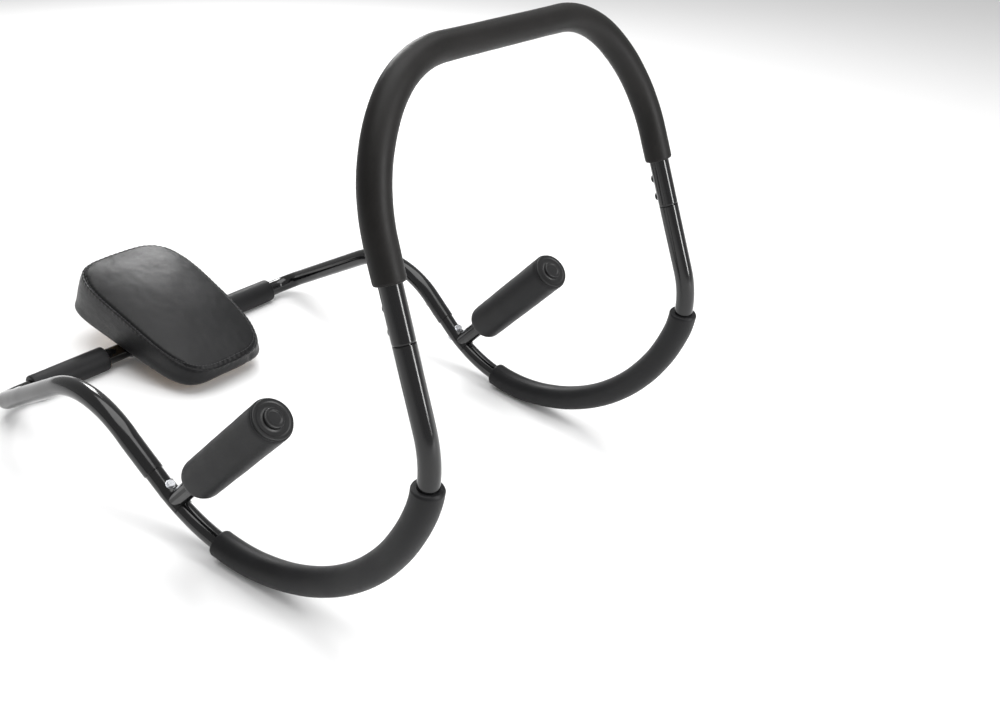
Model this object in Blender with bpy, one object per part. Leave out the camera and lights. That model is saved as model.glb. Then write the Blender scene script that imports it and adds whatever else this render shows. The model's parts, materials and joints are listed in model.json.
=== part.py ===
# Rocking ab crunch machine, in metres.
# Floor at Z = 0, +Y from the head pad to the push bar, X = 0 is the mirror plane.

import math

import bmesh
import bpy
from mathutils import Vector

# Tube stock and clearances
tube_od = 0.025
tube_wall = 0.0015
rail_wall = 0.0012
gap = 0.0003
rail_od = tube_od + 2 * (gap + rail_wall)
tube_sides = 12
bend_step = 11.5

# Push bar: an arch in one plane that leans back towards the head
half_width = 0.2555
lean = 20.0
splay = 3.0
leg_length = 0.097
lower_bend = (0.190, 42.3)
upper_bend = 0.131

# Rocker tubes, from the upper joint down, and the rear frame that slides over them
rocker_straight = 0.0926
rocker_bends = ((0.147, 38.9), (0.316, 63.1), (0.2335, 47.2))
joint_straight = 0.070
rail_bend = (0.150, 68.5)
corner_radius = 0.040
neck_length = 0.060
neck_wall = 0.0015
ring_groove = 0.001
rail_start = 0.0175
rail_overlap_end = 0.003

# Foam sleeves
grip_radius_leg = 0.0173
grip_radius_top = 0.0155
grip_end = 0.060
rocker_foam_radius = 0.0187
rocker_foam_span = (0.157, 0.617)
sleeve_radius = 0.0208
sleeve_span = (0.112, 0.2415)
foam_round = 0.002

# Arm handles, measured from the rocker tube's axis along the handle
handle_back = 0.030
handle_rise = 46.7
handle_toe_in = 4.3
handle_length = 0.276
handle_foam_start = 0.070
handle_foam_radius = 0.028
shoulder_radius = 0.014
saddle_wall = 0.0025
saddle_front = 0.017
saddle_back = 0.025
plug_flange = (0.0262, 0.002)
plug_boss = (0.013, 0.0044)
plug_stem = 0.025

# Fasteners
screw_shank = 0.0025
screw_head = (0.0055, 0.0035)
upper_screws = (0.012, 0.036)
rail_screws = (0.020, 0.041)
bolt_shank = 0.003
bolt_from_handle = 0.002
bolt_head = (0.0058, 0.004)
nut_size = (0.0058, 0.005)

# Head pad, in a frame on the crossbar's axis whose Z is square to the board
pad_lean = 10.1
board_height = 0.027
board_thickness = 0.008
board_inset = 0.012
pad_length = 0.320
pad_width = 0.192
pad_taper = 0.149
pad_forward = 0.0228
seam_forward = 0.0323
seam_slope = 8.4
seam_height = 0.0645
seam_arch = 0.29
crown = 0.012
top_squareness = 3.7
base_squareness = 5.4

# What holds the pad on the crossbar
mount_spacing = 0.110
strap_width = 0.024
strap_wall = 0.002
pad_screw_clearance = 0.0017
pad_screw_offset = rail_od / 2 + gap + strap_wall + screw_head[0] + pad_screw_clearance
saddle_margin = 0.0075
saddle_size = (0.030, 2 * (pad_screw_offset + saddle_margin))
pad_screw_bite = 0.006


def unit(angle):
    return Vector((math.cos(angle), math.sin(angle)))


def walk(start, heading, moves):
    """Points of a flat route made of straight lengths and (radius, turn) bends, with its last heading."""
    points = [Vector(start)]
    heading = math.radians(heading)
    for move in moves:
        if not isinstance(move, tuple):
            points.append(points[-1] + move * unit(heading))
            continue
        radius, turn = move[0], math.radians(move[1])
        steps = max(2, math.ceil(abs(move[1]) / bend_step))
        quarter = math.copysign(math.pi / 2, turn)
        centre = points[-1] + radius * unit(heading + quarter)
        for step in range(1, steps + 1):
            points.append(centre - radius * unit(heading + quarter + turn * step / steps))
        heading += turn
    return points, heading


class Route:
    """A tube's centre line with a ring at any distance along it."""

    def __init__(self, points, side):
        self.points = points
        self.along = [0.0]
        self.frames = []
        last = None
        for a, b in zip(points, points[1:]):
            ahead = (b - a).normalized()
            if last:
                side = last.rotation_difference(ahead) @ side
            side = (side - ahead * side.dot(ahead)).normalized()
            self.frames.append((ahead, side, ahead.cross(side)))
            self.along.append(self.along[-1] + (b - a).length)
            last = ahead

    def settle(self, distance):
        """The distance itself, or a bend point when one is too near for a square cut."""
        nearest = min(self.along, key=lambda one: abs(one - distance))
        return nearest if abs(nearest - distance) < 0.0035 else distance

    def segment(self, distance):
        for index in range(len(self.frames)):
            if distance <= self.along[index + 1] + 1e-9:
                return index
        return len(self.frames) - 1

    def point(self, distance):
        index = self.segment(distance)
        return self.points[index] + self.frames[index][0] * (distance - self.along[index])

    def ahead(self, distance):
        return self.frames[self.segment(distance)][0]

    def ring(self, distance, radius, sides=tube_sides):
        index = self.segment(distance)
        ahead, side, up = self.frames[index]
        centre = self.point(distance)
        cut = ahead
        if abs(self.along[index + 1] - distance) < 1e-7 and index + 1 < len(self.frames):
            cut = ahead + self.frames[index + 1][0]
        ring = []
        for step in range(sides):
            angle = 2 * math.pi * step / sides
            arm = radius * (math.cos(angle) * side + math.sin(angle) * up)
            ring.append(centre + arm - ahead * (arm.dot(cut) / ahead.dot(cut)))
        return ring

    def rings(self, profile):
        """Rings for (distance, radius) pairs, with one more at each bend point between two of them."""
        found = []
        for (start, first), (end, second) in zip(profile, profile[1:]):
            found.append((start, first))
            for at in self.along:
                if start + 1e-6 < at < end - 1e-6:
                    share = (at - start) / (end - start)
                    found.append((at, first + (second - first) * share))
        found.append(profile[-1])
        return [self.ring(at, radius) for at, radius in found]


def half_route(rail_length, lift):
    """The frame's centre line from the top centre down one side to the crossbar's centre."""
    slope = math.sin(math.radians(splay))
    turn = 90 - splay - lower_bend[1]
    arch, _ = walk((half_width, 0), 90 + splay, [leg_length, lower_bend, (upper_bend, turn)])
    arch.append(Vector((0, arch[-1].y)))
    back = math.radians(lean)
    joint = Vector((0, 0, lift))
    upper = [joint + Vector((p.x, -p.y * math.sin(back), p.y * math.cos(back))) for p in reversed(arch)]

    bends = [(radius, -turn) for radius, turn in rocker_bends]
    side, heading = walk((0, 0), lean - 90, [rocker_straight] + bends + [joint_straight])
    lower = []
    travelled = 0.0
    for a, b in zip(side, side[1:]):
        travelled += (b - a).length
        lower.append(joint + Vector((half_width + slope * travelled, b.x, b.y)))
    reach = lower[-1].x
    marks = {"rails": travelled, "bends": travelled - joint_straight}

    rail, heading = walk(side[-1], math.degrees(heading), [rail_bend, rail_length])
    lower += [joint + Vector((reach, p.x, p.y)) for p in rail[1:]]
    marks["rail_end"] = lower[-1]
    down = Vector((0, math.cos(heading), math.sin(heading)))
    marks["down"] = down
    centre = lower[-1] - Vector((corner_radius, 0, 0))
    for step in range(1, 7):
        angle = math.radians(15 * step)
        around = math.cos(angle) * Vector((1, 0, 0)) + math.sin(angle) * down
        lower.append(centre + corner_radius * around)
    lower.append(Vector((0, lower[-1].y, lower[-1].z)))
    normal = Vector((0, math.cos(back), math.sin(back)))
    route = Route(upper + lower, normal)
    joint_at = route.along[len(upper) - 1]
    marks["joint"] = joint_at
    marks["rails"] += joint_at
    marks["bends"] += joint_at
    return route, marks


def standing_route():
    """The same centre line, lifted so that rocker foams and crossbar sleeves all touch the floor."""
    route, marks = half_route(0.18, 0.0)
    start, end = (route.settle(marks["joint"] + one) for one in rocker_foam_span)
    rings = route.rings([(start, rocker_foam_radius), (end, rocker_foam_radius)])
    lift = -min(point.z for ring in rings for point in ring)
    drop = marks["rail_end"].z - 0.18 * marks["down"].z + lift - sleeve_radius
    return half_route(drop / -marks["down"].z - corner_radius, lift)


def mirrored(points):
    return [Vector((-point.x, point.y, point.z)) for point in points]


def make_object(name, bm, material, smooth=True):
    bmesh.ops.recalc_face_normals(bm, faces=bm.faces)
    mesh = bpy.data.meshes.new(name)
    bm.to_mesh(mesh)
    bm.free()
    obj = bpy.data.objects.new(name, mesh)
    bpy.context.scene.collection.objects.link(obj)
    if material:
        mesh.materials.append(material)
    if smooth:
        mesh.shade_smooth()
        mesh.set_sharp_from_angle(angle=math.radians(35))
    return obj


def skin(name, loops, material):
    """A closed skin over a closed chain of loops that all have as many points."""
    bm = bmesh.new()
    rows = [[bm.verts.new(point) for point in loop] for loop in loops]
    for row, following in zip(rows, rows[1:] + rows[:1]):
        for index in range(len(row)):
            after = (index + 1) % len(row)
            bm.faces.new((row[index], row[after], following[after], following[index]))
    return make_object(name, bm, material)


def capped(name, loops, material):
    """A closed skin over loops, with a flat cap on the first and the last."""
    bm = bmesh.new()
    rows = [[bm.verts.new(point) for point in loop] for loop in loops]
    for row, following in zip(rows, rows[1:]):
        for index in range(len(row)):
            after = (index + 1) % len(row)
            bm.faces.new((row[index], row[after], following[after], following[index]))
    bm.faces.new(rows[0])
    bm.faces.new(rows[-1])
    return make_object(name, bm, material)


def turned(name, profile, sides, material, loop=False):
    """A solid of revolution about local Z, from (height, radius) pairs."""
    bm = bmesh.new()
    verts = [bm.verts.new((radius, 0, height)) for height, radius in profile]
    pairs = list(zip(verts, verts[1:]))
    if loop:
        pairs.append((verts[-1], verts[0]))
    edges = [bm.edges.new(pair) for pair in pairs]
    bmesh.ops.spin(bm, geom=verts + edges, cent=(0, 0, 0), axis=(0, 0, 1), angle=2 * math.pi, steps=sides)
    bmesh.ops.remove_doubles(bm, verts=bm.verts, dist=1e-6)
    return make_object(name, bm, material)


def extruded(name, outline, depth, material):
    """A flat (y, z) outline pushed along X, centred on X = 0."""
    bm = bmesh.new()
    face = bm.faces.new([bm.verts.new((-depth / 2, y, z)) for y, z in outline])
    moved = bmesh.ops.extrude_face_region(bm, geom=[face])["geom"]
    verts = [item for item in moved if isinstance(item, bmesh.types.BMVert)]
    bmesh.ops.translate(bm, vec=(depth, 0, 0), verts=verts)
    return make_object(name, bm, material)


def place(obj, location, direction):
    """Puts an object's origin at a point and turns its Z to a direction."""
    obj.location = location
    obj.rotation_mode = "QUATERNION"
    obj.rotation_quaternion = Vector(direction).to_track_quat("Z", "Y")
    return obj


def hide(cutter):
    cutter.hide_render = True
    cutter.display_type = "WIRE"
    return cutter


def boolean(obj, other, operation="DIFFERENCE"):
    modifier = obj.modifiers.new(operation.title(), "BOOLEAN")
    modifier.operation = operation
    modifier.solver = "EXACT"
    modifier.object = other


def drill(name, location, direction, radius, length):
    """A hidden round cutter centred on a point."""
    half = length / 2
    cutter = turned(name, [(-half, 0), (-half, radius), (half, radius), (half, 0)], 12, None)
    return hide(place(cutter, location, direction))


def make_material(name, colour, roughness, metallic=0.0):
    material = bpy.data.materials.new(name)
    material.use_nodes = True
    shader = material.node_tree.nodes["Principled BSDF"]
    shader.inputs["Base Color"].default_value = (*colour, 1)
    shader.inputs["Roughness"].default_value = roughness
    shader.inputs["Metallic"].default_value = metallic
    material.diffuse_color = (*colour, 1)
    return material


def clear_scene():
    for obj in list(bpy.data.objects):
        bpy.data.objects.remove(obj, do_unlink=True)


def both_ways(route, profile):
    """Rings right round the machine, from one side's profile to the other's."""
    half = route.rings(profile)
    return [mirrored(ring) for ring in reversed(half[1:])] + half


def push_bar(route, marks, paint):
    end = marks["joint"] - ring_groove / 2
    outer = both_ways(route, [(0, tube_od / 2), (end, tube_od / 2)])
    inner = both_ways(route, [(0, tube_od / 2 - tube_wall), (end, tube_od / 2 - tube_wall)])
    return skin("push_bar", outer + inner[::-1], paint)


def push_bar_grip(route, marks, foam):
    end = marks["joint"] - grip_end
    swell = grip_radius_leg - grip_radius_top
    stops = [0.0, 0.06, 0.12, 0.18, 0.24]
    profile = []
    for at in stops:
        share = 0.5 - 0.5 * math.cos(math.pi * min(1, max(0, (at - 0.05) / 0.19)))
        profile.append((route.settle(at), grip_radius_top + swell * share))
    profile += [(end - foam_round, grip_radius_leg), (end, grip_radius_leg - foam_round)]
    inside = tube_od / 2 + gap
    outer = both_ways(route, profile)
    inner = both_ways(route, [(0, inside), (end, inside)])
    return skin("push_bar_grip", outer + inner[::-1], foam)


def sided(route, profile, side):
    rings = route.rings(profile)
    return rings if side > 0 else [mirrored(ring) for ring in rings]


def rocker_tube(name, route, marks, side, paint):
    neck_start = marks["joint"] - neck_length
    shoulder = marks["joint"] + ring_groove / 2
    end = marks["rails"] - rail_overlap_end
    neck = tube_od / 2 - tube_wall - gap
    bore = tube_od / 2 - tube_wall
    outer = [(neck_start, neck), (shoulder, neck), (shoulder, tube_od / 2), (end, tube_od / 2)]
    inner = [(neck_start, neck - neck_wall), (shoulder, neck - neck_wall)]
    inner += [(shoulder + 0.004, bore), (end, bore)]
    return skin(name, sided(route, outer, side) + sided(route, inner, side)[::-1], paint)


def rocker_foam(name, route, marks, side, foam):
    start, end = (route.settle(marks["joint"] + one) for one in rocker_foam_span)
    radius = rocker_foam_radius
    outer = [(start, radius - foam_round), (start, radius), (end, radius), (end, radius - foam_round)]
    inside = tube_od / 2 + gap
    inner = [(start, inside), (end, inside)]
    return skin(name, sided(route, outer, side) + sided(route, inner, side)[::-1], foam)


def rear_frame(route, marks, paint):
    """One tube from ring to ring: over the rocker tube's end, down the rail and across under the pad."""
    start = marks["bends"] + rail_start
    centre = route.along[-1]
    inside = rail_od / 2 - rail_wall

    def whole(radius):
        half = route.rings([(start, radius), (centre, radius)])
        return half + [mirrored(ring) for ring in reversed(half[:-1])]

    return skin("rear_frame", whole(rail_od / 2) + whole(inside)[::-1], paint)


def crossbar_sleeve(name, crossbar, side, foam):
    start, end = sleeve_span
    inside = (rail_od / 2 + gap) / math.cos(math.pi / 24)
    r = sleeve_radius
    profile = [(start, inside), (start, r - foam_round), (start + foam_round, r)]
    profile += [(end - foam_round, r), (end, r - foam_round), (end, inside)]
    obj = turned(name, profile, 24, foam, loop=True)
    return place(obj, crossbar, (side, 0, 0))


def handle_axis(side):
    rise, toe = math.radians(handle_rise), math.radians(handle_toe_in)
    return Vector((-side * math.sin(toe), math.cos(rise) * math.cos(toe), math.sin(rise) * math.cos(toe)))


def handle_spot(route, marks):
    return marks["bends"] - handle_back


def on_side(point, side):
    return Vector((point.x * side, point.y, point.z))


def bolt_line(route, marks, side):
    """Where a handle's bolt crosses the rocker tube's axis, and its direction, square to the tube."""
    at = marks["bends"] - handle_back + tube_od / 2 + bolt_from_handle
    ahead = on_side(route.ahead(at), side)
    axis = handle_axis(side)
    return on_side(route.point(at), side), (axis - ahead * axis.dot(ahead)).normalized()


def handle_post(name, route, marks, side, paint):
    """A tube coped on the rocker tube, with a thin saddle under it that takes the bolt."""
    at = handle_spot(route, marks)
    foot = on_side(route.point(at), side)
    axis = handle_axis(side)
    radius = tube_od / 2
    end = handle_length - plug_flange[1] - gap
    bore = radius - tube_wall
    post = turned(name, [(0, 0), (0, radius), (end, radius), (end, 0)], 24, paint)
    place(post, foot, axis)

    clear = radius + gap
    spans = [(at - saddle_front, clear + saddle_wall), (at + saddle_back, clear + saddle_wall)]
    saddle = hide(capped(name + "_saddle", sided(route, spans, side), None))
    boolean(post, saddle, "UNION")
    spans = [(at - 0.045, clear), (at + 0.045, clear)]
    boolean(post, hide(capped(name + "_cope", sided(route, spans, side), None)))
    below = turned(name + "_below", [(-0.06, 0), (-0.06, 0.08), (0.002, 0.08), (0.002, 0)], 4, None)
    boolean(post, hide(place(below, foot, axis)))
    bored = [(0.02, 0), (0.02, bore), (end + 0.01, bore), (end + 0.01, 0)]
    hollow = turned(name + "_hollow", bored, 24, None)
    boolean(post, hide(place(hollow, foot, axis)))
    spot, direction = bolt_line(route, marks, side)
    boolean(post, drill(name + "_bolt_hole", spot + direction * 0.015, direction, bolt_shank + gap, 0.03))
    middle = spot + direction * (bolt_seat() + 0.02)
    notch = drill(name + "_bolt_seat", middle, direction, bolt_head[0] + 0.001, 0.04)
    boolean(post, notch)
    return post


def bolt_seat():
    """Height above the rocker tube's axis of the flat under the handle bolt's head."""
    return tube_od / 2 + gap + saddle_wall - 0.0008


def handle_foam(name, route, marks, side, foam):
    foot = on_side(route.point(handle_spot(route, marks)), side)
    r = handle_foam_radius
    inside = (tube_od / 2 + gap) / math.cos(math.pi / 24)
    start = handle_foam_start
    end = handle_length - plug_flange[1] - gap
    profile = [(end, inside), (end, r - foam_round), (end - foam_round, r)]
    for step in range(5):
        angle = math.radians(90 * step / 4)
        across = r - shoulder_radius * (1 - math.cos(angle))
        profile.append((start + shoulder_radius * (1 - math.sin(angle)), across))
    profile.append((start, inside))
    obj = turned(name, profile, 24, foam, loop=True)
    return place(obj, foot, handle_axis(side))


def handle_end_plug(name, route, marks, side, plastic):
    foot = on_side(route.point(handle_spot(route, marks)), side)
    flange, thickness = plug_flange
    boss, proud = plug_boss
    stem = tube_od / 2 - tube_wall - gap
    low = handle_length - thickness
    tip = low - plug_stem
    profile = [(tip, 0), (tip, stem - 0.001), (tip + 0.002, stem), (low, stem)]
    profile += [(low, flange), (handle_length - 0.0005, flange), (handle_length, flange - 0.0005)]
    profile += [(handle_length, boss), (handle_length + proud - 0.001, boss)]
    profile += [(handle_length + proud, boss - 0.001), (handle_length + proud, 0)]
    return place(turned(name, profile, 24, plastic), foot, handle_axis(side))


def dome_screw(name, seat, outward, depth, metal):
    """A dome-head screw whose head's underside sits at a point."""
    radius, height = screw_head
    profile = [(-depth, 0), (-depth, screw_shank), (0, screw_shank), (0, radius)]
    for step in range(1, 4):
        angle = math.radians(90 * step / 4)
        profile.append((0.001 + (height - 0.001) * math.sin(angle), radius * math.cos(angle)))
    profile.append((height, 0))
    return place(turned(name, profile, 12, metal), seat, outward)


def joint_screws(route, marks, side, names, spots, outwards, outer_radius, outer, inner, metal):
    """Screws through two nested tubes, with their holes."""
    for name, at in zip(names, spots):
        centre = on_side(route.point(at), side)
        ahead = on_side(route.ahead(at), side)
        outward = (outwards - ahead * outwards.dot(ahead)).normalized()
        hole = drill(name + "_hole", centre + outward * 0.012, outward, screw_shank + gap, 0.016)
        boolean(outer, hole)
        boolean(inner, hole)
        dome_screw(name, centre + outward * (outer_radius + gap), outward, 0.007, metal)


def handle_bolt(name, route, marks, side, metal):
    spot, direction = bolt_line(route, marks, side)
    seat = bolt_seat() + gap
    radius, height = bolt_head
    reach = tube_od / 2 + gap + nut_size[1] + 0.001
    profile = [(-reach - seat, 0), (-reach - seat, bolt_shank), (0, bolt_shank), (0, radius)]
    profile += [(height - 0.001, radius), (height, radius - 0.001), (height, 0)]
    return place(turned(name, profile, 6 * 2, metal), spot + direction * seat, direction)


def handle_nut(name, route, marks, side, metal):
    spot, direction = bolt_line(route, marks, side)
    radius, height = nut_size
    profile = [(0, bolt_shank + gap), (0, radius), (height, radius), (height, bolt_shank + gap)]
    nut = turned(name, profile, 12, metal, loop=True)
    return place(nut, spot - direction * (tube_od / 2 + gap), -direction)


def pad_outline(width, squareness, count=40):
    """A rounded rectangle that narrows towards the front, as (x, y) about the pad's middle."""
    outline = []
    for step in range(count):
        angle = 2 * math.pi * (step + 0.5) / count
        c, s = math.cos(angle), math.sin(angle)
        x = width / 2 * math.copysign(abs(c) ** (2 / squareness), c)
        y = pad_length / pad_width * width / 2 * math.copysign(abs(s) ** (2 / squareness), s)
        outline.append((x * (1 - pad_taper * y / pad_length), y))
    return outline


def pad_loop(share, squareness, height, forward=pad_forward):
    """One loop of the pad, in the board's frame. Height is a function of y."""
    loop = []
    for x, y in pad_outline(pad_width * share, squareness):
        loop.append(Vector((x, y + forward, height(y))))
    return loop


def seam_line(y):
    return board_height + seam_height - math.tan(math.radians(seam_slope)) * y - seam_arch * y * y


def head_pad_cushion(vinyl):
    """A wedge with a crowned top, open below for the board."""
    recess = board_height + board_thickness + gap
    inset = 1 - 2 * (board_inset - 0.002) / pad_width
    middle = (top_squareness + base_squareness) / 2
    loops = [
        pad_loop(inset, base_squareness, lambda y: recess),
        pad_loop(inset, base_squareness, lambda y: board_height),
        pad_loop(0.975, base_squareness, lambda y: board_height),
        pad_loop(1.0, base_squareness, lambda y: board_height + 0.006),
        pad_loop(1.005, middle, lambda y: (board_height + seam_line(y)) / 2, (pad_forward + seam_forward) / 2),
        pad_loop(1.0, top_squareness, lambda y: seam_line(y) - 0.004, seam_forward),
        pad_loop(0.985, top_squareness, seam_line, seam_forward),
    ]
    for share in (0.85, 0.6, 0.3):
        rise = crown * (1 - share**2.2)
        top = lambda y, rise=rise: seam_line(y) + rise
        loops.append(pad_loop(share, top_squareness, top, seam_forward))
    return capped("head_pad_cushion", loops, vinyl)


def head_pad_board(wood):
    share = 1 - 2 * board_inset / pad_width
    low = pad_loop(share, base_squareness, lambda y: board_height + gap)
    high = pad_loop(share, base_squareness, lambda y: board_height + board_thickness)
    return capped("head_pad_board", [low, high], wood)


def pad_saddle(name, x, plastic):
    """A block that hangs under the board and sits on the crossbar."""
    width, length = saddle_size
    bore = rail_od / 2 + gap
    y = length / 2
    outline = [(-y, gap), (-y, board_height), (y, board_height), (y, gap)]
    for step in range(13):
        angle = math.pi * step / 12
        outline.append((bore * math.cos(angle), gap + (bore - gap) * math.sin(angle)))
    block = extruded(name, outline, width, plastic)
    block.location.x = x
    return block


def pad_strap(name, x, metal):
    """A steel strap round the underside of the crossbar, with a flat flange each side."""
    inner = rail_od / 2 + gap
    outer = inner + strap_wall
    y = saddle_size[1] / 2
    angles = [math.pi * step / 12 for step in range(13)]
    outline = [(-y, 0), (-inner, 0)]
    outline += [(-inner * math.cos(a), -inner * math.sin(a)) for a in angles[1:-1]]
    outline += [(inner, 0), (y, 0), (y, -strap_wall)]
    first = math.asin(strap_wall / outer)
    for step in range(11):
        a = first + (math.pi - 2 * first) * step / 10
        outline.append((outer * math.cos(a), -outer * math.sin(a)))
    outline.append((-y, -strap_wall))
    strap = extruded(name, outline, strap_width, metal)
    strap.location.x = x
    return strap


def make_head_pad(pivot, looks):
    """Everything that tilts with the pad, parented to an empty on the crossbar's axis."""
    cushion = head_pad_cushion(looks["vinyl"])
    board = head_pad_board(looks["wood"])
    pieces = [cushion, board]
    for side, word in ((1, "right"), (-1, "left")):
        x = side * mount_spacing / 2
        saddle = pad_saddle(word + "_pad_saddle", x, looks["plastic"])
        strap = pad_strap(word + "_pad_strap", x, looks["steel"])
        pieces += [saddle, strap]
        for way, end in ((1, "front"), (-1, "rear")):
            name = f"{word}_pad_screw_{end}"
            y = way * pad_screw_offset
            reach = board_height + pad_screw_bite
            hole = drill(name + "_hole", (x, y, reach / 2), (0, 0, 1), screw_shank + gap, reach + 0.012)
            for piece in (saddle, strap, board):
                boolean(piece, hole)
            seat = (x, y, -strap_wall - gap)
            screw = dome_screw(name, seat, (0, 0, -1), reach + strap_wall - 0.001, looks["zinc"])
            pieces += [screw, hole]
    for piece in pieces:
        piece.parent = pivot


def make_frame(route, marks, looks):
    paint, foam = looks["paint"], looks["foam"]
    bar = push_bar(route, marks, paint)
    push_bar_grip(route, marks, looks["grip_foam"])
    rails = rear_frame(route, marks, paint)
    crossbar = route.points[-1]
    rear = Vector((0, -math.cos(math.radians(lean)), -math.sin(math.radians(lean))))
    for side, word in ((1, "right"), (-1, "left")):
        tube = rocker_tube(word + "_rocker_tube", route, marks, side, paint)
        rocker_foam(word + "_rocker_foam", route, marks, side, foam)
        crossbar_sleeve(word + "_crossbar_sleeve", crossbar, side, foam)
        handle_post(word + "_handle_post", route, marks, side, paint)
        handle_foam(word + "_handle_foam", route, marks, side, foam)
        handle_end_plug(word + "_handle_end_plug", route, marks, side, looks["plastic"])
        handle_bolt(word + "_handle_bolt", route, marks, side, looks["zinc"])
        handle_nut(word + "_handle_nut", route, marks, side, looks["zinc"])
        spot, direction = bolt_line(route, marks, side)
        boolean(tube, drill(word + "_rocker_bolt_hole", spot, direction, bolt_shank + gap, tube_od + 0.01))

        names = [f"{word}_upper_screw_{level}" for level in ("low", "high")]
        spots = [marks["joint"] - one for one in upper_screws]
        joint_screws(route, marks, side, names, spots, rear, tube_od / 2, bar, tube, looks["screw"])
        names = [f"{word}_rear_screw_{end}" for end in ("front", "back")]
        spots = [marks["bends"] + rail_start + one for one in rail_screws]
        under = Vector((0, -0.6, -0.8))
        joint_screws(route, marks, side, names, spots, under, rail_od / 2, rails, tube, looks["screw"])


def centre_on_floor(root):
    """Slides the whole machine along Y so that its middle is at Y = 0."""
    bpy.context.view_layer.update()
    graph = bpy.context.evaluated_depsgraph_get()
    reach = []
    for obj in bpy.data.objects:
        if obj.type == "MESH" and not obj.hide_render:
            seen = obj.evaluated_get(graph)
            reach += [(obj.matrix_world @ vertex.co).y for vertex in seen.data.vertices]
    root.location.y = -(min(reach) + max(reach)) / 2


def main():
    clear_scene()
    looks = {
        "paint": make_material("gloss_black_paint", (0.012, 0.012, 0.013), 0.18),
        "foam": make_material("charcoal_foam", (0.035, 0.036, 0.039), 0.85),
        "grip_foam": make_material("black_foam", (0.026, 0.024, 0.023), 0.85),
        "vinyl": make_material("black_vinyl", (0.018, 0.018, 0.02), 0.42),
        "plastic": make_material("black_plastic", (0.012, 0.012, 0.012), 0.5),
        "wood": make_material("plywood", (0.42, 0.28, 0.16), 0.7),
        "steel": make_material("bright_steel", (0.55, 0.55, 0.56), 0.35, 1.0),
        "screw": make_material("black_screw", (0.02, 0.02, 0.02), 0.35, 0.6),
        "zinc": make_material("zinc", (0.62, 0.63, 0.65), 0.3, 1.0),
    }
    route, marks = standing_route()
    make_frame(route, marks, looks)
    pivot = bpy.data.objects.new("head_pad_pivot", None)
    pivot.location = route.points[-1]
    pivot.rotation_euler.x = -math.radians(pad_lean)
    bpy.context.scene.collection.objects.link(pivot)
    make_head_pad(pivot, looks)

    root = bpy.data.objects.new("machine", None)
    bpy.context.scene.collection.objects.link(root)
    for obj in list(bpy.data.objects):
        if obj is not root and obj.parent is None:
            obj.parent = root
    centre_on_floor(root)
    pad_axis = root.location + route.points[-1]
    print("pad axis at", [round(value, 5) for value in pad_axis])


main()
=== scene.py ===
import json
import math

import bmesh
import bpy
from mathutils import Matrix, Vector, noise
from mathutils.bvhtree import BVHTree
from mathutils.kdtree import KDTree


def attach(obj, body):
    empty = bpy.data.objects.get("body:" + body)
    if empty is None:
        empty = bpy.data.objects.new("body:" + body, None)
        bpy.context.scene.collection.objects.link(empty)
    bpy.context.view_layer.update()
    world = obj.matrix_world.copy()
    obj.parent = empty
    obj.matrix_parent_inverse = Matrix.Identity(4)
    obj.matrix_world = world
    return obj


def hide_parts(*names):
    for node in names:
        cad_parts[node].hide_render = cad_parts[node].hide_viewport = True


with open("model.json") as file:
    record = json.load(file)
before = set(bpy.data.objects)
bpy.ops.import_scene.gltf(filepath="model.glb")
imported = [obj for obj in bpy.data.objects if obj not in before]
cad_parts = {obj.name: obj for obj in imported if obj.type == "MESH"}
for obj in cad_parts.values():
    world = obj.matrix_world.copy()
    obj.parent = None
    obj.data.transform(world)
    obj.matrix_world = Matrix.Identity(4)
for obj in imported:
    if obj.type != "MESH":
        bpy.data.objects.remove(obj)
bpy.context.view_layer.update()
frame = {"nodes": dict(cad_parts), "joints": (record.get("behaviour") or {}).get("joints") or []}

tiltJoint = frame["joints"][0]
crossbarAxis = Vector(tiltJoint["pos_m"])


class Wire:  # a socket that can be added, multiplied and so on
    def __init__(self, finish, socket):
        self.finish = finish
        self.socket = socket

    def sum(self, operation, first, second):
        return self.finish.add("ShaderNodeMath", {"operation": operation}, {0: first, 1: second})

    def __add__(self, other):
        return self.sum("ADD", self, other)

    def __radd__(self, other):
        return self.sum("ADD", other, self)

    def __sub__(self, other):
        return self.sum("SUBTRACT", self, other)

    def __rsub__(self, other):
        return self.sum("SUBTRACT", other, self)

    def __mul__(self, other):
        return self.sum("MULTIPLY", self, other)

    def __rmul__(self, other):
        return self.sum("MULTIPLY", other, self)

    def __pow__(self, other):
        return self.sum("POWER", self, other)


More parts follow.
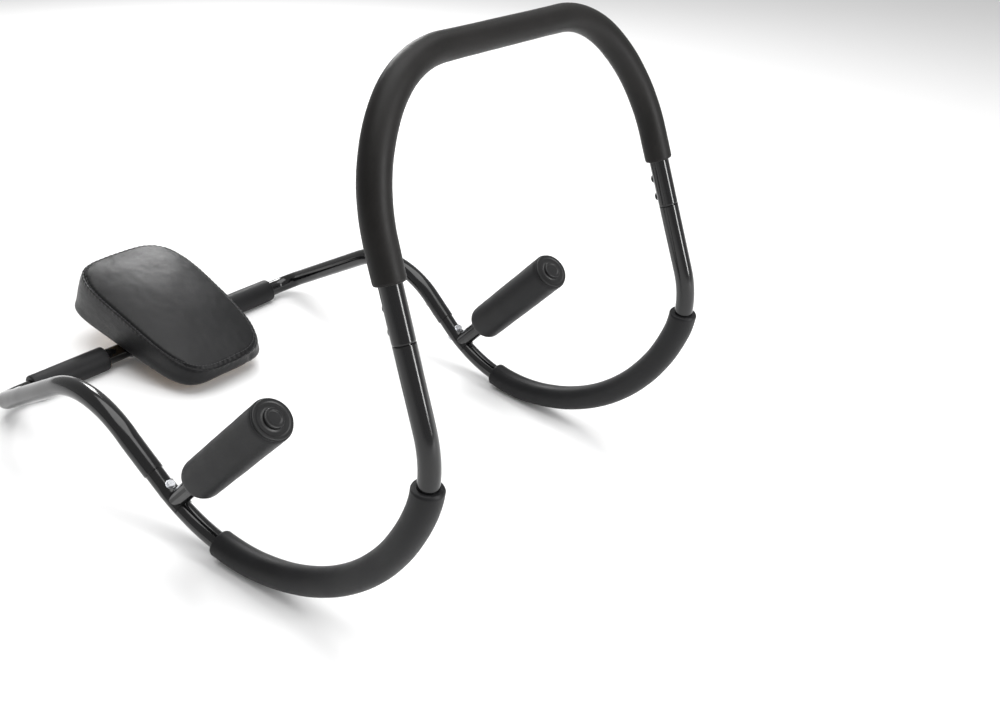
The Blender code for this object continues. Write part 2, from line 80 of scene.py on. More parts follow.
class Finish:  # one material and the nodes that feed its shader
    def __init__(self, name, **constants):
        self.material = bpy.data.materials.new(name)
        self.material.use_nodes = True
        self.tree = self.material.node_tree
        self.shader = self.tree.nodes["Principled BSDF"]
        for socket, value in constants.items():
            self.shader.inputs[socket.replace("_", " ")].default_value = value
        place = self.tree.nodes.new("ShaderNodeTexCoord")
        self.place = Wire(self, place.outputs["Object"])

    def add(self, kind, settings, inputs, output=0):
        node = self.tree.nodes.new(kind)
        for key, value in settings.items():
            setattr(node, key, value)
        for key, value in inputs.items():
            self.feed(node.inputs[key], value)
        return Wire(self, node.outputs[output])

    def feed(self, socket, value):
        if isinstance(value, Wire):
            self.tree.links.new(value.socket, socket)
        else:
            socket.default_value = value

    def stretched(self, scale):
        return self.add("ShaderNodeMapping", {}, {"Vector": self.place, "Scale": scale})

    def noise(self, scale, detail=2.0, roughness=0.5, place=None):
        inputs = {"Vector": place or self.place, "Scale": scale, "Detail": detail, "Roughness": roughness}
        return self.add("ShaderNodeTexNoise", {}, inputs)

    def cells(self, scale, feature="F1", place=None):
        inputs = {"Vector": place or self.place, "Scale": scale}
        return self.add("ShaderNodeTexVoronoi", {"feature": feature}, inputs)

    def between(self, value, low, high, start, end):
        inputs = {"Value": value, "From Min": low, "From Max": high, "To Min": start, "To Max": end}
        return self.add("ShaderNodeMapRange", {"clamp": True}, inputs)

    def mixed(self, share, first, second):
        inputs = {0: share, 6: (*first, 1), 7: (*second, 1)}
        return self.add("ShaderNodeMix", {"data_type": "RGBA"}, inputs, 2)

    def bump(self, height, strength, distance):
        inputs = {"Height": height, "Strength": strength, "Distance": distance}
        self.feed(self.shader.inputs["Normal"], self.add("ShaderNodeBump", {}, inputs))

    def colour(self, value):
        self.feed(self.shader.inputs["Base Color"], value)

    def gloss(self, value):
        self.feed(self.shader.inputs["Roughness"], value)


foamLook = {
    "charcoal": ((0.0040, 0.0040, 0.0046), (0.0085, 0.0085, 0.0096)),
    "warmBlack": ((0.0042, 0.0037, 0.0034), (0.0084, 0.0074, 0.0069)),
    "skinRoughness": (0.42, 0.56),
    "poreScale": 1500.0,
    "mottleScale": 22.0,
}


def foamFinish(name, dark, light):
    look = Finish(name, Specular_IOR_Level=0.24, Sheen_Weight=0.015, Sheen_Roughness=0.4)
    mottle = look.noise(foamLook["mottleScale"], 3.0, 0.6)
    skin = look.noise(420.0, 4.0, 0.65)
    pores = look.cells(foamLook["poreScale"])
    shade = look.between(mottle * 0.6 + skin * 0.4, 0.35, 0.65, 0.0, 1.0)
    pitAndPoreShade = look.between(pores, 0.0, 0.35, 0.0, 1.0)
    # colour darkens towards each pore's centre: painted shade in the pits, over a random mottled tone
    look.colour(look.mixed(shade * (0.55 + 0.45 * pitAndPoreShade), dark, light))
    low, high = foamLook["skinRoughness"]
    look.gloss(look.between(skin * 0.5 + mottle * 0.5, 0.35, 0.65, low, high))
    look.bump(skin * 0.55 + pitAndPoreShade * 0.45, 0.35, 0.0004)
    return look.material


paintLook = {"black": (0.003, 0.003, 0.0034), "dusty": (0.007, 0.007, 0.0077), "roughness": (0.12, 0.22)}


def paintFinish():
    look = Finish("glossBlackPaint", Specular_IOR_Level=0.4, Coat_Roughness=0.06, Coat_IOR=1.5)
    peel = look.noise(260.0, 2.0, 0.5)
    smears = look.noise(26.0, 4.0, 0.6, look.stretched((1.0, 1.0, 0.25)))
    specks = look.between(look.noise(900.0, 1.0), 0.68, 0.74, 0.0, 1.0)
    look.colour(look.mixed(smears * 0.4 + specks * 0.25, paintLook["black"], paintLook["dusty"]))
    low, high = paintLook["roughness"]
    look.gloss(look.between(smears, 0.35, 0.7, low, high) + specks * 0.06)
    look.feed(look.shader.inputs["Coat Weight"], look.between(smears, 0.3, 0.7, 0.30, 0.15))
    look.bump(peel * 0.8 + specks * 0.2, 0.06, 0.0003)
    return look.material


vinylLook = {"deep": (0.0018, 0.0018, 0.0022), "worn": (0.0050, 0.0050, 0.0058), "roughness": (0.34, 0.46)}


def vinylFinish():
    look = Finish("blackVinyl", Specular_IOR_Level=0.26, Sheen_Weight=0.01, Sheen_Roughness=0.4)
    wobble = look.noise(160.0, 2.0)
    hide = look.cells(780.0, "DISTANCE_TO_EDGE")
    fine = look.cells(1700.0, "DISTANCE_TO_EDGE")
    creasesAndCreaseShade = look.between(hide, 0.0, 0.14, 0.0, 1.0)
    patches = look.noise(14.0, 3.0, 0.55)
    # colour darkens along the grain creases: painted shade; the large lighter patches are random tone
    look.colour(look.mixed(patches * 0.6 + creasesAndCreaseShade * 0.4, vinylLook["deep"], vinylLook["worn"]))
    low, high = vinylLook["roughness"]
    look.gloss(look.between(patches * 0.6 + wobble * 0.4, 0.35, 0.65, low, high))
    look.bump(creasesAndCreaseShade * 0.6 + look.between(fine, 0.0, 0.1, 0.0, 1.0) * 0.2 + wobble * 0.6, 0.22, 0.00035)
    return look.material


def plasticFinish(name, dark, light, roughness):
    look = Finish(name, Specular_IOR_Level=0.45)
    grain = look.noise(1100.0, 2.0, 0.6)
    cloud = look.noise(40.0, 3.0)
    look.colour(look.mixed(cloud, dark, light))
    look.gloss(look.between(cloud * 0.5 + grain * 0.5, 0.3, 0.7, roughness - 0.06, roughness + 0.08))
    look.bump(grain, 0.12, 0.0002)
    return look.material


def metalFinish(name, pale, dull, low, high):
    look = Finish(name, Metallic=1.0)
    streaks = look.noise(90.0, 4.0, 0.65, look.stretched((1.0, 6.0, 1.0)))
    spangle = look.cells(420.0)
    look.colour(look.mixed(streaks * 0.6 + spangle * 0.5, dull, pale))
    look.gloss(look.between(streaks, 0.3, 0.7, low, high))
    look.bump(streaks * 0.5 + spangle * 0.3, 0.08, 0.0002)
    return look.material


def blackSteelFinish():
    look = Finish("blackenedScrew", Specular_IOR_Level=0.6)
    wear = look.noise(700.0, 3.0, 0.6)
    rubbed = look.between(wear, 0.45, 0.75, 0.0, 1.0)
    look.colour(look.mixed(rubbed, (0.02, 0.02, 0.021), (0.10, 0.10, 0.105)))
    look.feed(look.shader.inputs["Metallic"], look.between(wear, 0.4, 0.7, 0.35, 0.9))
    look.gloss(look.between(wear, 0.3, 0.7, 0.22, 0.4))
    look.bump(wear, 0.1, 0.0001)
    return look.material


def plywoodFinish():
    look = Finish("plywoodBoard", Specular_IOR_Level=0.3)
    grain = look.noise(55.0, 6.0, 0.6, look.stretched((9.0, 0.8, 1.0)))
    pores = look.noise(700.0, 2.0, 0.6, look.stretched((1.0, 0.12, 1.0)))
    look.colour(look.mixed(grain * 0.75 + pores * 0.25, (0.30, 0.18, 0.09), (0.60, 0.42, 0.25)))
    look.gloss(look.between(grain, 0.3, 0.7, 0.6, 0.8))
    look.bump(grain * 0.4 + pores * 0.6, 0.2, 0.0004)
    return look.material


def threadFinish():
    look = Finish("blackThread", Specular_IOR_Level=0.35, Sheen_Weight=0.25)
    twist = look.noise(2400.0, 2.0)
    look.colour(look.mixed(twist, (0.012, 0.012, 0.013), (0.05, 0.05, 0.053)))
    look.gloss(look.between(twist, 0.3, 0.7, 0.5, 0.7))
    look.bump(twist, 0.3, 0.0001)
    return look.material


frameForm = {
    "halfWidth": 0.2555, "lean": 20.0, "splay": 3.0,  # at the joints, degrees back, degrees out
    "leg": 0.097, "lowerBend": (0.190, 42.3), "upperBend": 0.131,
    "rockerStraight": 0.0926, "rockerBends": ((0.147, 38.9), (0.316, 63.1), (0.2335, 47.2)),
    "jointStraight": 0.070, "railBend": (0.150, 68.5), "corner": 0.040,
    "stepDegrees": 2.4, "sides": 44,
}
tubeForm = {
    "outside": 0.0125, "wall": 0.0015, "railOutside": 0.014, "railWall": 0.0012,
    "groove": 0.0012, "neck": 0.060, "neckGap": 0.0003,
    "railStart": 0.0175, "railOverlapEnd": 0.003, "edge": 0.0006,
}
foamForm = {
    "gripLeg": 0.0173, "gripTop": 0.0155, "gripEnd": 0.060,
    "rocker": 0.0187, "rockerSpan": (0.157, 0.617),
    "sleeve": 0.0208, "sleeveSpan": (0.112, 0.2415),
    "edge": 0.0028, "hug": 0.00012, "unevenness": 0.00022,
}


def unit(angle):
    return Vector((math.cos(angle), math.sin(angle)))


def walk(start, heading, moves):
    points = [Vector(start)]
    heading = math.radians(heading)
    for move in moves:
        if not isinstance(move, tuple):
            points.append(points[-1] + move * unit(heading))
            continue
        radius, turn = move[0], math.radians(move[1])
        steps = max(2, math.ceil(abs(move[1]) / frameForm["stepDegrees"]))
        quarter = math.copysign(math.pi / 2, turn)
        centre = points[-1] + radius * unit(heading + quarter)
        for step in range(1, steps + 1):
            points.append(centre - radius * unit(heading + quarter + turn * step / steps))
        heading += turn
    return points, heading


class Route:  # one side's centre line, from the top of the push bar to the middle of the crossbar
    def __init__(self, points, side):
        self.points = points
        self.along = [0.0]
        self.frames = []
        last = None
        for a, b in zip(points, points[1:]):
            ahead = (b - a).normalized()
            if last:
                side = last.rotation_difference(ahead) @ side
            side = (side - ahead * side.dot(ahead)).normalized()
            self.frames.append((ahead, side))
            self.along.append(self.along[-1] + (b - a).length)
            last = ahead

    def segment(self, distance):
        for index in range(len(self.frames)):
            if distance <= self.along[index + 1] + 1e-9:
                return index
        return len(self.frames) - 1

    def point(self, distance):
        index = self.segment(distance)
        return self.points[index] + self.frames[index][0] * (distance - self.along[index])

    def ahead(self, distance):
        return self.frames[self.segment(distance)][0]

    def ring(self, distance, radius, sides, wobble):
        index = self.segment(distance)
        ahead, side = self.frames[index]
        atBend = abs(self.along[index + 1] - distance) < 1e-7
        if atBend and index + 1 < len(self.frames):
            nextAhead, nextSide = self.frames[index + 1]
            ahead = (ahead + nextAhead).normalized()
            side = (side + nextSide).normalized()
        up = ahead.cross(side)
        centre = self.point(distance)
        ring = []
        for step in range(sides):
            angle = 2 * math.pi * step / sides
            out = math.cos(angle) * side + math.sin(angle) * up
            reach = radius
            if wobble:
                reach += wobble * noise.noise((centre + out * radius) * 34.0)
            ring.append(centre + out * reach)
        return ring

    def rings(self, profile, sides, wobble=0.0):
        stops = []
        for (start, first), (end, second) in zip(profile, profile[1:]):
            stops.append((start, first))
            inner = [at for at in self.along if start + 0.0012 < at < end - 0.0012]
            if end - start > 0.006:  # rings close to each end keep the long faces shaded true
                inner = sorted(inner + [start + 0.001, end - 0.001])
            for at in inner:
                stops.append((at, first + (second - first) * (at - start) / (end - start)))
        stops.append(profile[-1])
        return [self.ring(at, radius, sides, wobble) for at, radius in stops]


def halfRoute(railLength, joint):
    form = frameForm
    slope = math.sin(math.radians(form["splay"]))
    turn = 90 - form["splay"] - form["lowerBend"][1]
    moves = [form["leg"], form["lowerBend"], (form["upperBend"], turn)]
    arch, _ = walk((form["halfWidth"], 0), 90 + form["splay"], moves)
    arch.append(Vector((0, arch[-1].y)))
    back = math.radians(form["lean"])
    upper = [joint + Vector((p.x, -p.y * math.sin(back), p.y * math.cos(back))) for p in reversed(arch)]

    bends = [(radius, -angle) for radius, angle in form["rockerBends"]]
    moves = [form["rockerStraight"]] + bends + [form["jointStraight"]]
    side, heading = walk((0, 0), form["lean"] - 90, moves)
    lower = []
    travelled = 0.0
    for a, b in zip(side, side[1:]):
        travelled += (b - a).length
        lower.append(joint + Vector((form["halfWidth"] + slope * travelled, b.x, b.y)))
    reach = lower[-1].x
    rail, heading = walk(side[-1], math.degrees(heading), [form["railBend"], railLength])
    lower += [joint + Vector((reach, p.x, p.y)) for p in rail[1:]]
    down = Vector((0, math.cos(heading), math.sin(heading)))
    railEnd = lower[-1]
    centre = railEnd - Vector((form["corner"], 0, 0))
    steps = math.ceil(90 / form["stepDegrees"])
    for step in range(1, steps + 1):
        angle = math.pi / 2 * step / steps
        around = math.cos(angle) * Vector((1, 0, 0)) + math.sin(angle) * down
        lower.append(centre + form["corner"] * around)
    lower.append(Vector((0, lower[-1].y, lower[-1].z)))
    route = Route(upper + lower, Vector((0, math.cos(back), math.sin(back))))
    jointAt = route.along[len(upper) - 1]
    marks = {"joint": jointAt, "rails": jointAt + travelled}
    marks["bends"] = marks["rails"] - form["jointStraight"]
    return route, marks, railEnd, down


def standingRoute():  # rail length and lift follow from the foams and the crossbar resting on the floor
    trial = 0.18
    route, marks, railEnd, down = halfRoute(trial, Vector())
    lift = foamForm["rocker"] - min(point.z for point in route.points)
    drop = railEnd.z - trial * down.z + lift - crossbarAxis.z
    railLength = drop / -down.z - frameForm["corner"]
    route, marks, railEnd, down = halfRoute(railLength, Vector((0, 0, lift)))
    slide = crossbarAxis.y - route.points[-1].y
    route, marks, railEnd, down = halfRoute(railLength, Vector((0, slide, lift)))
    print("centre line", round(route.along[-1], 4), "m a side, rail", round(railLength, 4))
    return route, marks


route, marks = standingRoute()


def flip(points):
    return [Vector((-point.x, point.y, point.z)) for point in points]


def mirrored(rows, side):
    return [flip(row) for row in rows] if side < 0 else rows


def addPiece(name, mesh):
    piece = bpy.data.objects.new(name, mesh)
    bpy.context.scene.collection.objects.link(piece)
    return piece


def onSide(point, side):
    return Vector((point.x * side, point.y, point.z))


def finishMesh(name, bm, material, sharpDegrees=38):
    bmesh.ops.remove_doubles(bm, verts=bm.verts, dist=1e-7)
    bmesh.ops.recalc_face_normals(bm, faces=bm.faces)
    mesh = bpy.data.meshes.new(name)
    bm.to_mesh(mesh)
    bm.free()
    piece = addPiece(name, mesh)
    if material:
        mesh.materials.append(material)
    mesh.shade_smooth()
    mesh.set_sharp_from_angle(angle=math.radians(sharpDegrees))
    return piece


def lofted(name, rows, material, closed=False, caps=False):
    bm = bmesh.new()
    rows = [[bm.verts.new(point) for point in row] for row in rows]
    following = rows[1:] + rows[:1] if closed else rows[1:]
    for row, after in zip(rows, following):
        count = len(row)
        for index in range(count):
            step = (index + 1) % count
            bm.faces.new((row[index], row[step], after[step], after[index]))
    if caps:
        bm.faces.new(rows[0])
        bm.faces.new(rows[-1])
    return finishMesh(name, bm, material)


def turned(name, profile, sides, material, place):  # (height, radius) pairs, closed up where there is a bore
    bm = bmesh.new()
    verts = [bm.verts.new((radius, 0, height)) for height, radius in profile]
    pairs = list(zip(verts, verts[1:]))
    if profile[0][1] > 0 and profile[-1][1] > 0:
        pairs.append((verts[-1], verts[0]))
    edges = [bm.edges.new(pair) for pair in pairs]
    bmesh.ops.spin(bm, geom=verts + edges, cent=(0, 0, 0), axis=(0, 0, 1), angle=2 * math.pi, steps=sides)
    bmesh.ops.remove_doubles(bm, verts=bm.verts, dist=1e-6)
    bm.transform(place)
    return finishMesh(name, bm, material)


def rounded(corners, steps=5):  # (height, radius, fillet) corners to a profile with round corners
    profile = []
    for index, (height, radius, fillet) in enumerate(corners):
        here = Vector((height, radius))
        if fillet <= 0:
            profile.append(here)
            continue
        before = Vector(corners[index - 1][:2])
        after = Vector(corners[(index + 1) % len(corners)][:2])
        first = (before - here).normalized()
        second = (after - here).normalized()
        for step in range(steps + 1):
            t = step / steps
            a = here + first * fillet * (1 - t)
            b = here + second * fillet * t
            profile.append(a + (b - a) * t)
    return [(point.x, max(point.y, 0.0)) for point in profile]


def standing(location, direction):  # a place whose Z is along a direction
    turn = Vector(direction).to_track_quat("Z", "Y").to_matrix().to_4x4()
    return Matrix.Translation(location) @ turn


def dropModifiers(piece):  # keeps what the modifiers make as a plain mesh
    bpy.context.view_layer.update()
    graph = bpy.context.evaluated_depsgraph_get()
    mesh = bpy.data.meshes.new_from_object(piece.evaluated_get(graph))
    piece.modifiers.clear()
    piece.data = mesh


def subtract(piece, cutter, operation="DIFFERENCE"):
    modifier = piece.modifiers.new("cut", "BOOLEAN")
    modifier.operation = operation
    modifier.solver = "EXACT"
    modifier.object = cutter
    dropModifiers(piece)
    bpy.data.objects.remove(cutter, do_unlink=True)


def settle(piece, body, slot, *nodes):
    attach(piece, body)
    if nodes:
        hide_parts(*nodes)


def edgeProfile(start, end, radius, edge):  # straight stretch with both ends eased
    near = [(start, radius - edge), (start + edge * 0.35, radius - edge * 0.3), (start + edge, radius)]
    far = [(end - edge, radius), (end - edge * 0.35, radius - edge * 0.3), (end, radius - edge)]
    return near + far


def bothWays(profile, sides, wobble=0.0):  # from one side's end, over the top, to the other side's end
    half = route.rings(profile, sides, wobble)
    return [flip(ring) for ring in reversed(half[1:])] + half


def makePushBar(paint):
    end = marks["joint"] - tubeForm["groove"] / 2
    r, edge = tubeForm["outside"], tubeForm["edge"]
    outer = [(0.0, r), (end - edge, r), (end - edge * 0.35, r - edge * 0.3), (end, r - edge)]
    inner = [(0.0, r - tubeForm["wall"]), (end, r - tubeForm["wall"])]
    sides = frameForm["sides"]
    rows = bothWays(outer, sides) + bothWays(inner, sides)[::-1]
    piece = lofted("pushBar", rows, paint, closed=True)
    settle(piece, "frame", "gloss_black_paint", "push_bar")


def makeRockerTube(side, word, paint):
    r, wall, edge = tubeForm["outside"], tubeForm["wall"], tubeForm["edge"]
    neck = r - wall - tubeForm["neckGap"]
    start = marks["joint"] - tubeForm["neck"]
    shoulder = marks["joint"] + tubeForm["groove"] / 2
    end = marks["rails"] - tubeForm["railOverlapEnd"]
    outer = [(start, neck), (shoulder, neck), (shoulder + 0.0001, r - edge)]
    outer += [(shoulder + edge * 0.35, r - edge * 0.3), (shoulder + edge, r), (end, r)]
    inner = [(start, neck - wall), (shoulder, neck - wall), (shoulder + 0.004, r - wall), (end, r - wall)]
    sides = frameForm["sides"]
    rows = route.rings(outer, sides) + route.rings(inner, sides)[::-1]
    piece = lofted(word + "RockerTube", mirrored(rows, side), paint, closed=True)
    settle(piece, "frame", "gloss_black_paint", word + "_rocker_tube")


def makeRearFrame(paint):
    start = marks["bends"] + tubeForm["railStart"]
    middle = route.along[-1]
    r, edge = tubeForm["railOutside"], tubeForm["edge"]
    sides = frameForm["sides"]

    def whole(profile):
        half = route.rings(profile, sides)
        return half + [flip(ring) for ring in reversed(half[:-1])]

    outer = [(start, r - edge), (start + edge * 0.35, r - edge * 0.3), (start + edge, r), (middle, r)]
    inner = [(start, r - tubeForm["railWall"]), (middle, r - tubeForm["railWall"])]
    piece = lofted("rearFrame", whole(outer) + whole(inner)[::-1], paint, closed=True)
    settle(piece, "frame", "gloss_black_paint", "rear_frame")


def makeGrip(foam):
    form = foamForm
    end = marks["joint"] - form["gripEnd"]
    swell = form["gripLeg"] - form["gripTop"]
    outer = []
    for step in range(25):
        at = (end - form["edge"]) * step / 24
        share = 0.5 - 0.5 * math.cos(math.pi * min(1, max(0, (at - 0.05) / 0.19)))
        outer.append((at, form["gripTop"] + swell * share))
    outer.append((end - form["edge"] * 0.3, form["gripLeg"] - form["edge"] * 0.28))
    outer.append((end, form["gripLeg"] - form["edge"]))
    inside = tubeForm["outside"] + form["hug"]
    sides = frameForm["sides"]
    bore = bothWays([(0.0, inside), (end, inside)], sides)
    rows = bothWays(outer, sides, form["unevenness"]) + bore[::-1]
    piece = lofted("pushBarGrip", rows, foam, closed=True)
    settle(piece, "frame", "grip_foam", "push_bar_grip")


def makeRockerFoam(side, word, foam):
    form = foamForm
    start, end = (marks["joint"] + one for one in form["rockerSpan"])
    outer = edgeProfile(start, end, form["rocker"], form["edge"])
    inside = tubeForm["outside"] + form["hug"]
    sides = frameForm["sides"]
    rows = route.rings(outer, sides, form["unevenness"] * side)
    rows += route.rings([(start, inside), (end, inside)], sides)[::-1]
    piece = lofted(word + "RockerFoam", mirrored(rows, side), foam, closed=True)
    settle(piece, "frame", "charcoal_foam", word + "_rocker_foam")


def roughen(piece, amount, scale):  # slight unevenness of skinned foam
    normals = [vertex.normal.copy() for vertex in piece.data.vertices]
    for vertex, normal in zip(piece.data.vertices, normals):
        vertex.co += normal * amount * noise.noise(vertex.co * scale)


def makeSleeve(side, word, foam):
    start, end = foamForm["sleeveSpan"]
    r, edge = foamForm["sleeve"], foamForm["edge"]
    inside = tubeForm["railOutside"] + foamForm["hug"]
    corners = [(start, inside, 0), (start, r, edge)]
    corners += [(start + (end - start) * step / 12, r, 0) for step in range(1, 12)]
    corners += [(end, r, edge), (end, inside, 0)]
    place = standing(crossbarAxis, (side, 0, 0))
    piece = turned(word + "CrossbarSleeve", rounded(corners), 64, foam, place)
    roughen(piece, foamForm["unevenness"], 40.0)
    settle(piece, "frame", "charcoal_foam", word + "_crossbar_sleeve")


handleForm = {
    "back": 0.030, "rise": 46.7, "toeIn": 4.3, "length": 0.276,
    "foamStart": 0.070, "foamRadius": 0.028, "shoulder": 0.017, "edge": 0.0022,
    "saddleWall": 0.0012, "saddleFront": 0.0145, "saddleBack": 0.026,
    "plugRadius": 0.0262, "plugThick": 0.002, "bossRadius": 0.013, "bossHeight": 0.0044,
    "boltBack": 0.011,
}


def handleAxis(side):
    rise, toe = math.radians(handleForm["rise"]), math.radians(handleForm["toeIn"])
    return Vector((-side * math.sin(toe), math.cos(rise) * math.cos(toe), math.sin(rise) * math.cos(toe)))


def handleFoot(side):
    return onSide(route.point(marks["bends"] - handleForm["back"]), side)


def makeHandlePost(side, word, paint):
    form = handleForm
    at = marks["bends"] - form["back"]
    place = standing(handleFoot(side), handleAxis(side))
    r = tubeForm["outside"]
    end = form["length"] - form["plugThick"] - 0.0003
    post = turned(word + "HandlePost", [(0, 0), (0, r), (end, r), (end, 0)], 64, paint, place)

    def sleeveOf(start, stop, radius):
        rows = route.rings([(at + start, radius), (at + stop, radius)], 64)
        return mirrored(rows, side)

    clear = r + 0.0003
    wrap = sleeveOf(-form["saddleFront"], form["saddleBack"], clear + form["saddleWall"])
    subtract(post, lofted("saddle", wrap, None, caps=True), "UNION")
    subtract(post, lofted("cope", sleeveOf(-0.05, 0.05, clear), None, caps=True))
    subtract(post, turned("below", [(-0.06, 0), (-0.06, 0.08), (0.003, 0.08), (0.003, 0)], 48, None, place))
    bore = r - tubeForm["wall"]
    hollow = [(0.025, 0), (0.025, bore), (end + 0.01, bore), (end + 0.01, 0)]
    subtract(post, turned("bore", hollow, 48, None, place))
    post.data.materials.clear()
    post.data.materials.append(paint)
    post.data.shade_smooth()
    post.data.set_sharp_from_angle(angle=math.radians(30))
    settle(post, "frame", "gloss_black_paint", word + "_handle_post")


def makeHandleFoam(side, word, foam):
    form = handleForm
    start, end = form["foamStart"], form["length"] - form["plugThick"] - 0.0003
    r, shoulder = form["foamRadius"], form["shoulder"]
    inside = tubeForm["outside"] + foamForm["hug"]
    profile = [(start, inside), (start, r - shoulder - 0.0006)]
    for step in range(13):
        angle = math.pi / 2 * step / 12
        profile.append((start + shoulder * (1 - math.cos(angle)), r - shoulder * (1 - math.sin(angle))))
    for step in range(1, 30):
        profile.append((start + shoulder + (end - form["edge"] - start - shoulder) * step / 29, r))
    profile += [(end - form["edge"] * 0.3, r - form["edge"] * 0.28), (end, r - form["edge"])]
    profile.append((end, inside))
    piece = turned(word + "HandleFoam", profile, 72, foam, standing(handleFoot(side), handleAxis(side)))
    roughen(piece, 0.0003, 34.0)
    settle(piece, "frame", "charcoal_foam", word + "_handle_foam")


def makeEndPlug(side, word, plastic):
    form = handleForm
    top, low = form["length"], form["length"] - form["plugThick"]
    stem = tubeForm["outside"] - tubeForm["wall"] - 0.0003
    boss, proud = form["bossRadius"], form["bossHeight"]
    corners = [(low - 0.025, 0, 0), (low - 0.025, stem, 0.001), (low, stem, 0)]
    corners.append((low, form["plugRadius"], 0.0005))
    corners += [(top, form["plugRadius"], 0.0012), (top, form["plugRadius"] - 0.004, 0.0004)]
    corners += [(top - 0.0006, form["plugRadius"] - 0.0055, 0.0004), (top - 0.0006, boss + 0.003, 0.0008)]
    corners += [(top + 0.0002, boss + 0.0006, 0.0006), (top + proud - 0.0002, boss, 0.0016)]
    corners += [(top + proud, boss - 0.0034, 0.0006), (top + proud - 0.0011, boss - 0.0046, 0.0008)]
    corners += [(top + proud - 0.0011, 0, 0)]
    place = standing(handleFoot(side), handleAxis(side))
    piece = turned(word + "HandleEndPlug", rounded(corners, 6), 72, plastic, place)
    settle(piece, "frame", "black_plastic", word + "_handle_end_plug")


screwForm = {"radius": 0.0055, "height": 0.0035, "shank": 0.0025, "socket": 0.0021, "depth": 0.0018}
boltForm = {"flats": 0.005, "height": 0.004, "shank": 0.003, "washer": 0.0066, "washerThick": 0.0009}
upperScrews = (0.012, 0.036)
railScrews = (0.020, 0.041)


def hexPrism(name, across, low, high):
    rows = []
    for height in (low, high):
        corners = [unit(math.pi * corner / 3) * across for corner in range(6)]
        rows.append([Vector((corner.x, corner.y, height)) for corner in corners])
    return lofted(name, rows, None, caps=True)


def screwTemplate():
    form = screwForm
    r, h = form["radius"], form["height"]
    profile = [(-0.007, 0), (-0.007, form["shank"]), (0, form["shank"])]
    profile += [(0, r - 0.0003), (0.0003, r), (0.0009, r)]
    for step in range(1, 9):
        angle = math.pi / 2 * step / 8
        profile.append((0.0009 + (h - 0.0009) * math.sin(angle), r * math.cos(angle)))
    profile[-1] = (h, 0)
    screw = turned("screwTemplate", profile, 40, None, Matrix())
    subtract(screw, hexPrism("socket", form["socket"], h - form["depth"], h + 0.002))
    screw.data.set_sharp_from_angle(angle=math.radians(30))
    return screw


def boltTemplate(length):
    form = boltForm
    washer, thick = form["washer"], form["washerThick"]
    corners = [(-length, 0, 0), (-length, form["shank"], 0.0005), (0, form["shank"], 0)]
    corners += [(0, washer, 0.0003), (thick, washer, 0.0003), (thick, 0, 0)]
    bolt = turned("boltTemplate", rounded(corners), 40, None, Matrix())
    top = thick + form["height"]
    head = hexPrism("hexHead", form["flats"] / math.cos(math.pi / 6), thick - 0.0002, top)
    slope = [(-0.02, 0), (-0.02, 0.03), (0.0005, 0.0075), (top, 0.0046), (top, 0)]
    cone = turned("chamfer", slope, 40, None, Matrix())
    subtract(head, cone, "INTERSECT")
    subtract(bolt, head, "UNION")
    bolt.data.shade_smooth()
    bolt.data.set_sharp_from_angle(angle=math.radians(30))
    return bolt


def startTree(name, sockets):
    tree = bpy.data.node_groups.new(name, "GeometryNodeTree")
    face = tree.interface
    for label, kind in (("Geometry", "Geometry"), *sockets):
        face.new_socket(label, in_out="INPUT", socket_type="NodeSocket" + kind)
    face.new_socket("Geometry", in_out="OUTPUT", socket_type="NodeSocketGeometry")
    return tree, tree.nodes.new("NodeGroupInput")


def endTree(tree, copies, material):  # makes the copies real and gives them their material
    add, link = tree.nodes.new, tree.links.new
    real, coated = add("GeometryNodeRealizeInstances"), add("GeometryNodeSetMaterial")
    result = add("NodeGroupOutput")
    link(copies.outputs[0], real.inputs[0])
    link(real.outputs[0], coated.inputs[0])
    link(material, coated.inputs["Material"])
    link(coated.outputs[0], result.inputs[0])
    return tree


def fastenerTree():  # places a fastener on each point, along the point's own facing direction
    sockets = (("Fastener", "Object"), ("Size", "Float"), ("Seed", "Int"), ("Metal", "Material"))
    tree, source = startTree("placeFasteners", sockets)
    add, link = tree.nodes.new, tree.links.new
    item = add("GeometryNodeObjectInfo")
    link(source.outputs["Fastener"], item.inputs["Object"])
    facing = add("GeometryNodeInputNamedAttribute")
    facing.data_type = "FLOAT_VECTOR"
    facing.inputs["Name"].default_value = "facing"
    align = add("FunctionNodeAlignRotationToVector")
    align.axis = "Z"
    link(facing.outputs["Attribute"], align.inputs["Vector"])
    turn = add("FunctionNodeRandomValue")
    turn.data_type = "FLOAT"
    turn.inputs[3].default_value = 6.28
    link(source.outputs["Seed"], turn.inputs["Seed"])
    spin = add("FunctionNodeAxisAngleToRotation")
    spin.inputs["Axis"].default_value = (0, 0, 1)
    link(turn.outputs[1], spin.inputs["Angle"])
    both = add("FunctionNodeRotateRotation")
    both.rotation_space = "LOCAL"
    link(align.outputs[0], both.inputs[0])
    link(spin.outputs[0], both.inputs[1])
    copies = add("GeometryNodeInstanceOnPoints")
    link(source.outputs["Geometry"], copies.inputs["Points"])
    link(item.outputs["Geometry"], copies.inputs["Instance"])
    link(both.outputs[0], copies.inputs["Rotation"])
    link(source.outputs["Size"], copies.inputs["Scale"])
    return endTree(tree, copies, source.outputs["Metal"])


def setInputs(piece, tree, values):
    modifier = piece.modifiers.new("nodes", "NODES")
    modifier.node_group = tree
    for item in tree.interface.items_tree:
        if item.item_type == "SOCKET" and item.in_out == "INPUT" and item.name in values:
            modifier[item.identifier] = values[item.name]


def placeFasteners(name, spots, template, metal, seed):  # spots are (seat, outward) pairs
    mesh = bpy.data.meshes.new(name)
    mesh.from_pydata([seat for seat, _ in spots], [], [])
    facing = mesh.attributes.new("facing", "FLOAT_VECTOR", "POINT")
    for index, (_, outward) in enumerate(spots):
        facing.data[index].vector = outward
    piece = addPiece(name, mesh)
    setInputs(piece, fasteners, {"Fastener": template, "Size": 1.0, "Seed": seed, "Metal": metal})
    dropModifiers(piece)
    return piece


fasteners = fastenerTree()


